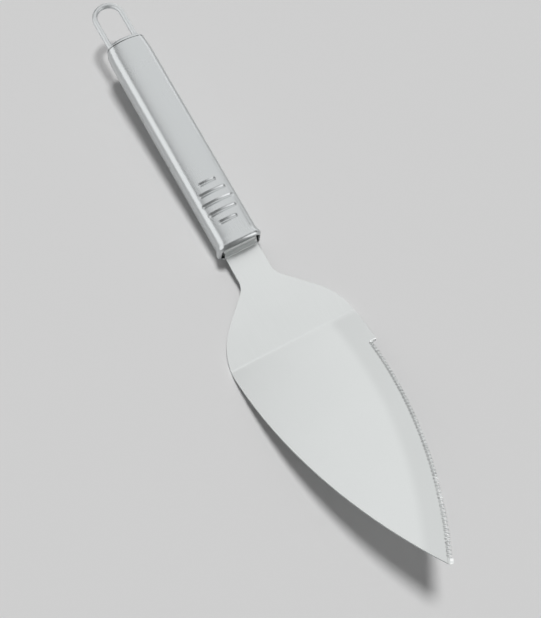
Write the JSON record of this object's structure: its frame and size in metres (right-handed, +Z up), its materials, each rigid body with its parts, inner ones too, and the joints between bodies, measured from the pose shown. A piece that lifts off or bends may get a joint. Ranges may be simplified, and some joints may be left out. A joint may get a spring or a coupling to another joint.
{
  "type": "cake server",
  "caption": "Cake server with a pointed blade bent up at the shoulders, a serrated edge, a hollow steel handle with pressed grip grooves and a wire hanging loop.",
  "frame": {"origin": "centre of the part's box on the table", "axes": "+X from the hanging loop to the tip of the blade, +Y to the serrated edge, +Z up from the table"},
  "size_m": [0.2836, 0.058, 0.0341],
  "materials": {
    "blade_steel": "satin",
    "handle_steel": "satin",
    "plate_steel": "satin",
    "cap_steel": "satin",
    "wire_steel": "satin"
  },
  "bodies": {
    "root": {"blade": "blade_steel", "handle_upper_shell": "handle_steel", "handle_lower_shell": "handle_steel", "front_plate": "plate_steel", "inner_plate": "plate_steel", "tail_cap": "cap_steel", "hanging_loop": "wire_steel"}
  },
  "joints": []
}
